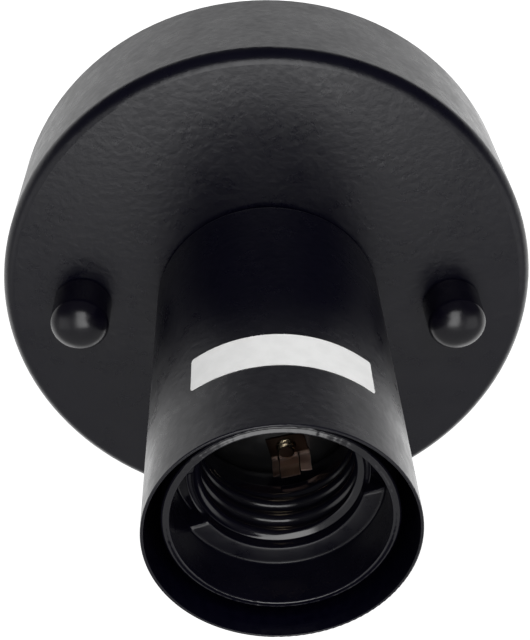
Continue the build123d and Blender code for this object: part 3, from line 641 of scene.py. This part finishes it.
def smooth_path(points, radii, n=6):
    """A polyline in (radial, z) with rounded corners."""
    out = [points[0]]
    for p0, p1, p2, r in zip(points[:-2], points[1:-1], points[2:], radii):
        a = np.subtract(p0, p1) / np.linalg.norm(np.subtract(p0, p1))
        b = np.subtract(p2, p1) / np.linalg.norm(np.subtract(p2, p1))
        half = math.acos(max(-1, min(1, float(a @ b)))) / 2
        t = r / math.tan(half)
        centre = np.array(p1) + (a + b) / np.linalg.norm(a + b) * (r / math.sin(half))
        s, e = np.array(p1) + a * t, np.array(p1) + b * t
        a0 = math.atan2(*(s - centre)[::-1])
        a1 = math.atan2(*(e - centre)[::-1])
        d = (a1 - a0 + math.pi) % TAU - math.pi
        out += [
            (centre[0] + r * math.cos(a0 + d * i / n), centre[1] + r * math.sin(a0 + d * i / n))
            for i in range(n + 1)
        ]
    out.append(points[-1])
    return out


def resample(path, step):
    path = [np.array(p, float) for p in path]
    out = [path[0]]
    for a, b in zip(path[:-1], path[1:]):
        n = max(1, int(math.ceil(np.linalg.norm(b - a) / step)))
        out += [a + (b - a) * i / n for i in range(1, n + 1)]
    return out


def leaf_strip(name, path, t, u0, u1, bend=None, holes=None, rows=7):
    """A sheet strip: path of its middle in (radial, z), t thick, from u0 to u1 across."""
    path = resample(path, 0.22)
    verts = []
    n = len(path)
    normals = []
    for i in range(n):
        d = path[min(n - 1, i + 1)] - path[max(0, i - 1)]
        d = d / np.linalg.norm(d)
        normals.append(np.array((d[1], -d[0])))
    for side in (1, -1):
        for i in range(n):
            for j in range(rows):
                u = u0 + (u1 - u0) * j / (rows - 1)
                ease = 0.06 if j in (0, rows - 1) else 0.0
                p = path[i] + normals[i] * side * (t / 2 - ease)
                radial, z = float(p[0]), float(p[1])
                if bend:
                    radial -= bend(u, z)
                verts.append(on_carrier(radial, u, z))
    m = n * rows
    faces = grid_faces(n, rows) + [tuple(reversed(f)) for f in grid_faces(n, rows, start=m)]
    rim = (
        [i * rows for i in range(n)]
        + [(n - 1) * rows + j for j in range(1, rows)]
        + [i * rows + rows - 1 for i in range(n - 2, -1, -1)]
        + [j for j in range(rows - 2, 0, -1)]
    )
    for a, b in zip(rim, rim[1:] + rim[:1]):
        faces.append((a, b, b + m, a + m))
    return add_mesh(name, verts, faces, sharp_deg=50)


foot = [(5.9, -60.2), (9.7, -60.2)]


def cup(u, z):
    """How far the leaf's outer fingers lean back, away from the lamp cap."""
    k = min(1.0, max(0.0, (-60.9 - z) / 1.2))
    return -max(0.0, abs(u) - 1.85) * 0.15 * k * k * (3 - 2 * k)


middle = smooth_path([(9.5, -60.2), (10.75, -60.2), (10.24, -63.0), (10.75, -65.1)], [1.0, 1.6], n=9)
outer = smooth_path([(9.5, -60.2), (10.75, -60.2), (10.30, -62.9), (10.65, -64.3)], [1.0, 1.6], n=9)
hv, hf = lathe_points([(0.01, -61.0), (1.5, -61.0), (1.5, -59.4), (0.01, -59.4)], 32, *on_carrier(8.0, 0, 0)[:2])
parts = [
    cut(leaf_strip("leaf_foot", foot, 0.4, -3.6, 3.05, rows=13), add_mesh("hole", hv, hf)),
    leaf_strip("leaf_mid", middle, 0.4, -1.65, 1.65, bend=cup),
    leaf_strip("leaf_a", outer, 0.4, -3.7, -1.87, bend=cup),
    leaf_strip("leaf_b", outer, 0.4, 1.87, 3.0, bend=cup),
]
contact = join("side_contact_leaf", *parts)
dress(contact, "bronze", node="side_contact", extra=("bronze_painted_shade",))
# Painted shadow: the foot's faces take the near-black bronze.
for poly in contact.data.polygons:
    near = poly.center.x * UN[0] + poly.center.y * UN[1]
    if near < 9.71 * MM and poly.center.z > -60.5 * MM:
        poly.material_index = 1


# ---------------------------------------------------------------- screw of the side contact, its thread showing below the leaf
nx, ny, _ = on_carrier(8.0, 0, 0)
head_z = -54.5 + 0.8 + 1.0 + 0.6
tip = -62.3
shank = threaded_rod("shank", 1.45, 0.52, 1.0, tip, head_z + 0.2, nx, ny, seg=40, per=14, lead0=0.2, lead1=0.0)
profile = [(0.02, head_z), (2.75, head_z)]
profile += [(2.75, head_z + 1.45)] + arc_points(2.35, head_z + 1.6, 0.4, 0, 90, 6) + [(0.02, head_z + 2.0)]
hv, hf = lathe_points(profile, 40, nx, ny)
head = add_mesh("head", hv, hf, sharp_deg=35)
head = cut(head, block("slot", (nx - 3.2, ny - 0.4, head_z + 1.0), (nx + 3.2, ny + 0.4, head_z + 3.0)))
screw = dress(join("neutral_screw_threaded", shank, head), "brass", node="neutral_terminal_screw", extra=("bronze_painted_shade",))
# Painted shade: the screw's tip and its chamfer take the near-black bronze.
for poly in screw.data.polygons:
    if poly.center.z < (tip + 0.02) * MM or (poly.center.z < (tip + 0.3) * MM and poly.normal.z < -0.6):
        poly.material_index = 1


# ---------------------------------------------------------------- plunger spring with closed ends
low, high, mean, wire_r = -61.2 + 0.33, -54.5 - 0.33, 2.75, 0.3
count, ring = 360, 12
coil = []
for i in range(count + 1):
    k = i / count
    turns = 6.0 * k
    rise = (min(turns, 0.75) * 0.62 + max(0.0, min(turns, 5.25) - 0.75) * 0.0 + max(0.0, turns - 5.25) * 0.62)
    pitch_mid = (high - low - 2 * 0.75 * 0.62) / 4.5
    rise += pitch_mid * max(0.0, min(turns, 5.25) - 0.75)
    a = TAU * turns
    coil.append((mean * math.cos(a), mean * math.sin(a), low + rise))
verts = []
for i, p in enumerate(coil):
    p = Vector(p)
    d = (Vector(coil[min(count, i + 1)]) - Vector(coil[max(0, i - 1)])).normalized()
    out = Vector((p.x, p.y, 0)).normalized()
    side = d.cross(out).normalized()
    for j in range(ring):
        a = TAU * j / ring
        verts.append(p + out * (wire_r * math.cos(a)) + side * (wire_r * math.sin(a)))
faces = grid_faces(count + 1, ring, False, True)
faces += [tuple(range(ring)), tuple(range(count * ring, (count + 1) * ring))]
spring = add_mesh("contact_spring_coil", verts, faces, sharp_deg=50)
dress(spring, "spring_steel", node="contact_spring")
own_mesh(spring)


# ---------------------------------------------------------------- studs with cross-slotted heads
stud_parts = []
for sx in (-35.0, 35.0):
    rod = threaded_rod("rod", 2.0, 0.36, 0.7, -34.0, -3.3, sx, 0, seg=28, per=8, lead0=0.5, lead1=0.0)
    prof = [(0.02, -3.5), (3.62, -3.5), (3.8, -3.32), (3.8, -2.25)]
    prof += [(3.72, -2.0), (3.45, -1.68), (2.75, -1.15), (1.9, -0.93), (0.95, -0.82), (0.02, -0.8)]
    hv, hf = lathe_points(prof, 44, sx, 0)
    head = add_mesh("head", hv, hf, sharp_deg=35)
    head = cut(head, block("slot", (sx - 2.1, -0.45, -2.2), (sx + 2.1, 0.45, 0.5)))
    head = cut(head, block("slot", (sx - 0.45, -2.1, -2.2), (sx + 0.45, 2.1, 0.5)))
    stud_parts += [rod, head]
dress(join("bracket_studs_threaded", *stud_parts), "zinc_steel", node="bracket_studs")

nipple = threaded_rod("threaded_nipple_tube", 5.0, 0.5, 1.0, -37.0, -15.5, seg=56, per=8, lead0=0.5, lead1=0.5, bore=3.9)
dress(nipple, "zinc_steel", node="threaded_nipple")


# ---------------------------------------------------------------- pieces with eased edges
for node_name, piece, width in (
    ("mounting_bracket", "mounting_bracket_strap", 0.18),
    ("terminal_block", "terminal_block_moulding", 0.22),
    ("stud_lock_nuts", "stud_lock_nuts_eased", 0.12),
    ("nipple_nut", "nipple_nut_eased", 0.14),
    ("nipple_lock_washer", "nipple_lock_washer_eased", 0.10),
):
    dress(eased(node_name, piece, width), SLOT_OF[node_name], node=node_name)


# ---------------------------------------------------------------- leads
def spline_points(name, route, step_count=16):
    """Points read along the NURBS spline whose control points are the route, in millimetres."""
    cu = bpy.data.curves.new(name, "CURVE")
    cu.dimensions = "3D"
    sp = cu.splines.new("NURBS")
    sp.points.add(len(route) - 1)
    for p, q in zip(sp.points, route):
        p.co = (*q, 1.0)
    sp.order_u = 3
    sp.use_endpoint_u = True
    sp.resolution_u = step_count
    ob = bpy.data.objects.new(name, cu)
    scene.collection.objects.link(ob)
    bpy.context.view_layer.update()
    me = bpy.data.meshes.new_from_object(ob.evaluated_get(bpy.context.evaluated_depsgraph_get()))
    pts = [Vector(v.co) for v in me.vertices]
    bpy.data.meshes.remove(me)
    bpy.data.objects.remove(ob)
    bpy.data.curves.remove(cu)
    return pts


def frames(pts):
    """Tangent and two normals at each point, carried along without twist."""
    out = []
    n = len(pts)
    t0 = (pts[1] - pts[0]).normalized()
    ref = Vector((0, 0, 1)) if abs(t0.z) < 0.9 else Vector((1, 0, 0))
    a = (ref - t0 * ref.dot(t0)).normalized()
    for i in range(n):
        t = (pts[min(n - 1, i + 1)] - pts[max(0, i - 1)]).normalized()
        a = (a - t * a.dot(t)).normalized()
        out.append((t, a, t.cross(a)))
    return out


def tube(name, pts, radius, ring=20, end_ease=0.12, wobble=0.0):
    fr = frames(pts)
    verts = []
    n = len(pts)

    def loop(p, f, r, k):
        for j in range(ring):
            ang = TAU * j / ring
            w = 1 + wobble * noise.noise((p.x * 0.45 + k, p.y * 0.45, p.z * 0.45 + j * 0.05))
            verts.append(p + (f[1] * math.cos(ang) + f[2] * math.sin(ang)) * (r * w))

    loop(pts[0], fr[0], radius - end_ease, 0)
    loop(pts[0] + fr[0][0] * end_ease * 0.6, fr[0], radius - 0.02, 0)
    for i in range(1, n - 1):
        loop(pts[i], fr[i], radius, 0)
    loop(pts[-1] - fr[-1][0] * end_ease * 0.6, fr[-1], radius - 0.02, 0)
    loop(pts[-1], fr[-1], radius - end_ease, 0)
    rows = len(verts) // ring
    faces = grid_faces(rows, ring, False, True)
    faces += [tuple(range(ring)), tuple(range((rows - 1) * ring, rows * ring))]
    return add_mesh(name, verts, faces, sharp_deg=60)


def strands(name, start, direction, length, count=7, radius=0.17, lay=7.0):
    """A short bare end of twisted strands."""
    d = Vector(direction).normalized()
    ref = Vector((0, 0, 1)) if abs(d.z) < 0.9 else Vector((1, 0, 0))
    a = (ref - d * ref.dot(d)).normalized()
    b = d.cross(a)
    made = []
    for k in range(count):
        pts = []
        for i in range(19):
            s = length * i / 18
            ang = TAU * (k / (count - 1) + s / lay)
            off = 0.0 if k == count - 1 else 0.33
            pts.append(Vector(start) + d * s + (a * math.cos(ang) + b * math.sin(ang)) * off)
        made.append(tube(f"{name}_{k}", pts, radius, ring=8, end_ease=0.04))
    return join(name, *made)


plate_back = -53.7
lead_z = plate_back + 0.5
lead_row = 10.05
block_axis, entry_y = -21.5, 21.0


def lead_route(side):
    x = 8.0 * side
    return [
        on_carrier(lead_row, -4.0, lead_z, side),
        on_carrier(lead_row, -5.6, lead_z, side),
        on_carrier(lead_row, -7.2, lead_z + 0.3, side),
        on_carrier(lead_row - 0.1, -7.2, -49.5, side),
        on_carrier(lead_row - 0.4, -7.0, -45.0, side),
        (side * 3.2, 0.9 * side, -41.0),
        (side * 1.5, 0, -36.5),
        (side * 1.5, 0, -27.0),
        (side * 1.5, 0, -17.5),
        (side * 1.9, 1.0, -9.9),
        (side * 5.6, 8.0, -9.2),
        (x, 12.9, -9.8),
        (x, 13.3, -16.0),
        (x, 13.6, -21.2),
        (x, 17.4, block_axis),
        (x, entry_y - 0.4, block_axis),
    ]


for side, node_name, slot_name in ((1, "neutral_lead", "wire_blue"), (-1, "live_lead", "wire_brown")):
    pts = spline_points(node_name + "_route", lead_route(side))
    cover = tube(node_name + "_cover", pts, 1.0, wobble=0.02)
    dress(cover, slot_name, node=node_name)
    ends = join(
        node_name + "_strands",
        strands("s0", on_carrier(lead_row, -4.4, lead_z, side), (side * VN[0], side * VN[1], 0), 6.8),
        strands("s1", (8.0 * side, entry_y - 1.0, block_axis), (0, 1, 0), 6.6),
    )
    dress(ends, "copper")

pts = spline_points(
    "earth_route",
    [
        (9.0, 6.2, -3.3), (9.0, 9.0, -3.3), (9.0, 12.2, -3.3), (7.6, 14.9, -3.4), (4.0, 15.2, -3.9),
        (0.6, 15.1, -5.0), (0.0, 15.0, -10.0), (0.0, 15.0, -16.5), (0.0, 15.6, -21.2), (0.0, 18.2, block_axis), (0.0, entry_y - 0.4, block_axis),
    ],
)
cover = tube("earth_lead_cover", pts, 1.0, wobble=0.02)
dress(cover, "wire_green", node="earth_lead", extra=("wire_yellow",))
for k, poly in enumerate(cover.data.polygons):
    if poly.loop_total == 4 and k % 20 in (0, 1, 2, 3, 4, 10, 11, 12, 13, 14):
        poly.material_index = 1
dress(strands("earth_lead_strands", (0, entry_y - 1.0, block_axis), (0, 1, 0), 6.6), "copper")


# ---------------------------------------------------------------- label
def label_sheet():
    a0, a1, z0, z1 = math.radians(-130.0), math.radians(-47.5), -77.2, -69.1
    nu, nv = 72, 14
    rad, corner = 20.9, 0.5
    verts = []
    for side in (0.115, 0.006):
        for i in range(nu + 1):
            for j in range(nv + 1):
                u = -1 + 2 * i / nu
                v = -1 + 2 * j / nv
                half_w, half_h = rad * (a1 - a0) / 2, (z1 - z0) / 2
                x, y = u * half_w, v * half_h
                ex, ey = half_w - abs(x), half_h - abs(y)
                if ex < corner and ey < corner:
                    qx, qy = corner - ex, corner - ey
                    big = max(qx, qy)
                    if big > 1e-9:
                        k = big / math.hypot(qx, qy)
                        qx, qy = qx * k, qy * k
                        x = math.copysign(half_w - corner + qx, x)
                        y = math.copysign(half_h - corner + qy, y)
                lift = 0.0
                for cu, cv, amount in ((1, 1, 0.10), (-1, -1, 0.07), (1, -1, 0.05)):
                    d = math.hypot(x - cu * half_w, y - cv * half_h)
                    lift += amount * max(0.0, 1 - d / 3.0) ** 2
                a = (a0 + a1) / 2 + x / rad
                r = rad + side + lift + 0.004 * noise.noise((x * 0.5, y * 0.5, 1.7))
                verts.append((r * math.cos(a), r * math.sin(a), (z0 + z1) / 2 + y))
    n, m = nu + 1, nv + 1
    count = n * m
    faces = grid_faces(n, m) + [tuple(reversed(f)) for f in grid_faces(n, m, start=count)]
    rim = (
        [i * m for i in range(n)]
        + [(n - 1) * m + j for j in range(1, m)]
        + [i * m + m - 1 for i in range(n - 2, -1, -1)]
        + [j for j in range(m - 2, 0, -1)]
    )
    for a, b in zip(rim, rim[1:] + rim[:1]):
        faces.append((a, b, b + count, a + count))
    return add_mesh("label_sticker", verts, faces, sharp_deg=40)


dress(label_sheet(), "label_paper", node="rating_label")


# ---------------------------------------------------------------- studio
world = bpy.data.worlds.new("studio")
scene.world = world
world.use_nodes = True
wt = world.node_tree
bg = wt.nodes["Background"]
bg.inputs["Color"].default_value = (1, 1, 1, 1)
coords = wt.nodes.new("ShaderNodeTexCoord")
xyz = wt.nodes.new("ShaderNodeSeparateXYZ")
wt.links.new(coords.outputs["Generated"], xyz.inputs[0])


def wrange(value, a, b, lo, hi):
    n = wt.nodes.new("ShaderNodeMapRange")
    n.interpolation_type = "SMOOTHSTEP"
    for k, v in zip(("From Min", "From Max", "To Min", "To Max"), (a, b, lo, hi)):
        n.inputs[k].default_value = v
    wt.links.new(value, n.inputs["Value"])
    return n.outputs["Result"]


lift = wt.nodes.new("ShaderNodeMath")
lift.operation = "ADD"
wt.links.new(xyz.outputs["Z"], lift.inputs[0])
wt.links.new(wrange(xyz.outputs["Y"], -0.5, 0.0, 0.0, 0.9), lift.inputs[1])
table = wrange(lift.outputs[0], 0.65, 1.0, 0.0, 1.0)
below = wrange(xyz.outputs["Y"], -0.35, 0.2, 0.05, 0.43)
side = wt.nodes.new("ShaderNodeMath")
side.operation = "MULTIPLY"
left = wt.nodes.new("ShaderNodeMath")
left.operation = "MULTIPLY_ADD"
left.inputs[2].default_value = 1.0
wt.links.new(wrange(xyz.outputs["X"], -0.3, -0.12, 0.45, 0.0), left.inputs[0])
wt.links.new(wrange(xyz.outputs["Y"], 0.4, 0.55, 0.0, 1.0), left.inputs[1])
wt.links.new(left.outputs[0], side.inputs[0])
right = wt.nodes.new("ShaderNodeMath")
right.operation = "MULTIPLY_ADD"
right.inputs[2].default_value = 1.0
wt.links.new(wrange(xyz.outputs["X"], 0.12, 0.3, 0.0, 0.55), right.inputs[0])
wt.links.new(wrange(xyz.outputs["Y"], -0.05, 0.25, 0.0, 1.0), right.inputs[1])
wt.links.new(right.outputs[0], side.inputs[1])
mixer = wt.nodes.new("ShaderNodeMix")
mixer.data_type = "FLOAT"
wt.links.new(table, mixer.inputs[0])
wt.links.new(below, mixer.inputs[2])
shade = wt.nodes.new("ShaderNodeMath")
shade.operation = "MULTIPLY"
wt.links.new(side.outputs[0], shade.inputs[0])
wt.links.new(wrange(xyz.outputs["Y"], 0.15, 0.4, 0.83, 1.0), shade.inputs[1])
wt.links.new(shade.outputs[0], mixer.inputs[3])
wt.links.new(mixer.outputs[0], bg.inputs["Strength"])


def panel(name, direction, distance, width, height, radiance, upright=(0, 0.84, -0.54)):
    """A soft rectangular light that faces the fitting."""
    data = bpy.data.lights.new(name, "AREA")
    data.shape = "RECTANGLE"
    data.size, data.size_y = width, height
    data.energy = radiance * math.pi * width * height
    ob = bpy.data.objects.new(name, data)
    d = Vector(direction).normalized()
    z = d
    y = (Vector(upright) - z * Vector(upright).dot(z)).normalized()
    x = y.cross(z).normalized()
    p = Vector((0, 0, -0.05)) + d * distance
    ob.matrix_world = Matrix(
        ((x.x, y.x, z.x, p.x), (x.y, y.y, z.y, p.y), (x.z, y.z, z.z, p.z), (0, 0, 0, 1))
    )
    scene.collection.objects.link(ob)
    ob.visible_camera = False
    return ob


panel("key", (0.0, -0.06, -0.998), 0.5, 0.23, 0.4545, 3.2, (0, 1, 0))
panel("strip_left", (-0.70, 0.19, -0.69), 0.5, 0.27, 0.27, 0.42, (0, 1, 0))
panel("strip_right", (0.70, 0.19, -0.69), 0.5, 0.27, 0.27, 0.5, (0, 1, 0))
fill = panel("fill", (0.11, -0.85, -0.5), 0.8, 0.9, 0.9, 2.95)
fill.visible_glossy = False

floor = add_mesh(
    "floor",
    [(5200 * math.cos(TAU * i / 96), 5200 * math.sin(TAU * i / 96), -900.0) for i in range(96)],
    [tuple(range(96))],
    recalc=False,
)
m = Mat("floor_paper", 0.8)
m.colour(m.mix(m.range(m.noise(3, 3), 0.3, 0.7, 0, 1), (0.84, 0.84, 0.84), (0.87, 0.87, 0.87)))
m.bump((m.noise(60, 3), 0.0005, 0.05))
floor.data.materials.append(m.m)

# a pale sweep all around, seen behind the fitting but neither mirrored in it nor lighting it
rows, ring = 20, 64
dome = []
for i in range(rows):
    e = math.radians(-12 + 100.0 * i / (rows - 1))
    for j in range(ring):
        a = TAU * j / ring
        dome.append((5000 * math.cos(e) * math.cos(a), 5000 * math.cos(e) * math.sin(a), 5000 * math.sin(e)))
faces = grid_faces(rows, ring, False, True)
faces.append(tuple(range((rows - 1) * ring, rows * ring)))
backdrop = add_mesh("backdrop", dome, faces, recalc=False)
m = Mat("backdrop_paper", 0.8)
m.colour(m.mix(m.range(m.noise(0.4, 2), 0.3, 0.7, 0, 1), (0.86, 0.86, 0.86), (0.88, 0.88, 0.88)))
m.link(m.range(m.noise(0.3, 2), 0.3, 0.7, 1.0, 1.02), m.p.inputs["Emission Strength"])
m.p.inputs["Emission Color"].default_value = (1, 1, 1, 1)
m.bump((m.noise(2, 2), 0.0005, 0.05))
backdrop.data.materials.append(m.m)
for sheet in (floor, backdrop):
    sheet.visible_glossy = False
    sheet.visible_diffuse = False
    sheet.visible_shadow = False

scene.view_settings.view_transform = "Standard"
scene.view_settings.look = "None"
scene.view_settings.exposure = 0.0
scene.view_settings.gamma = 1.0
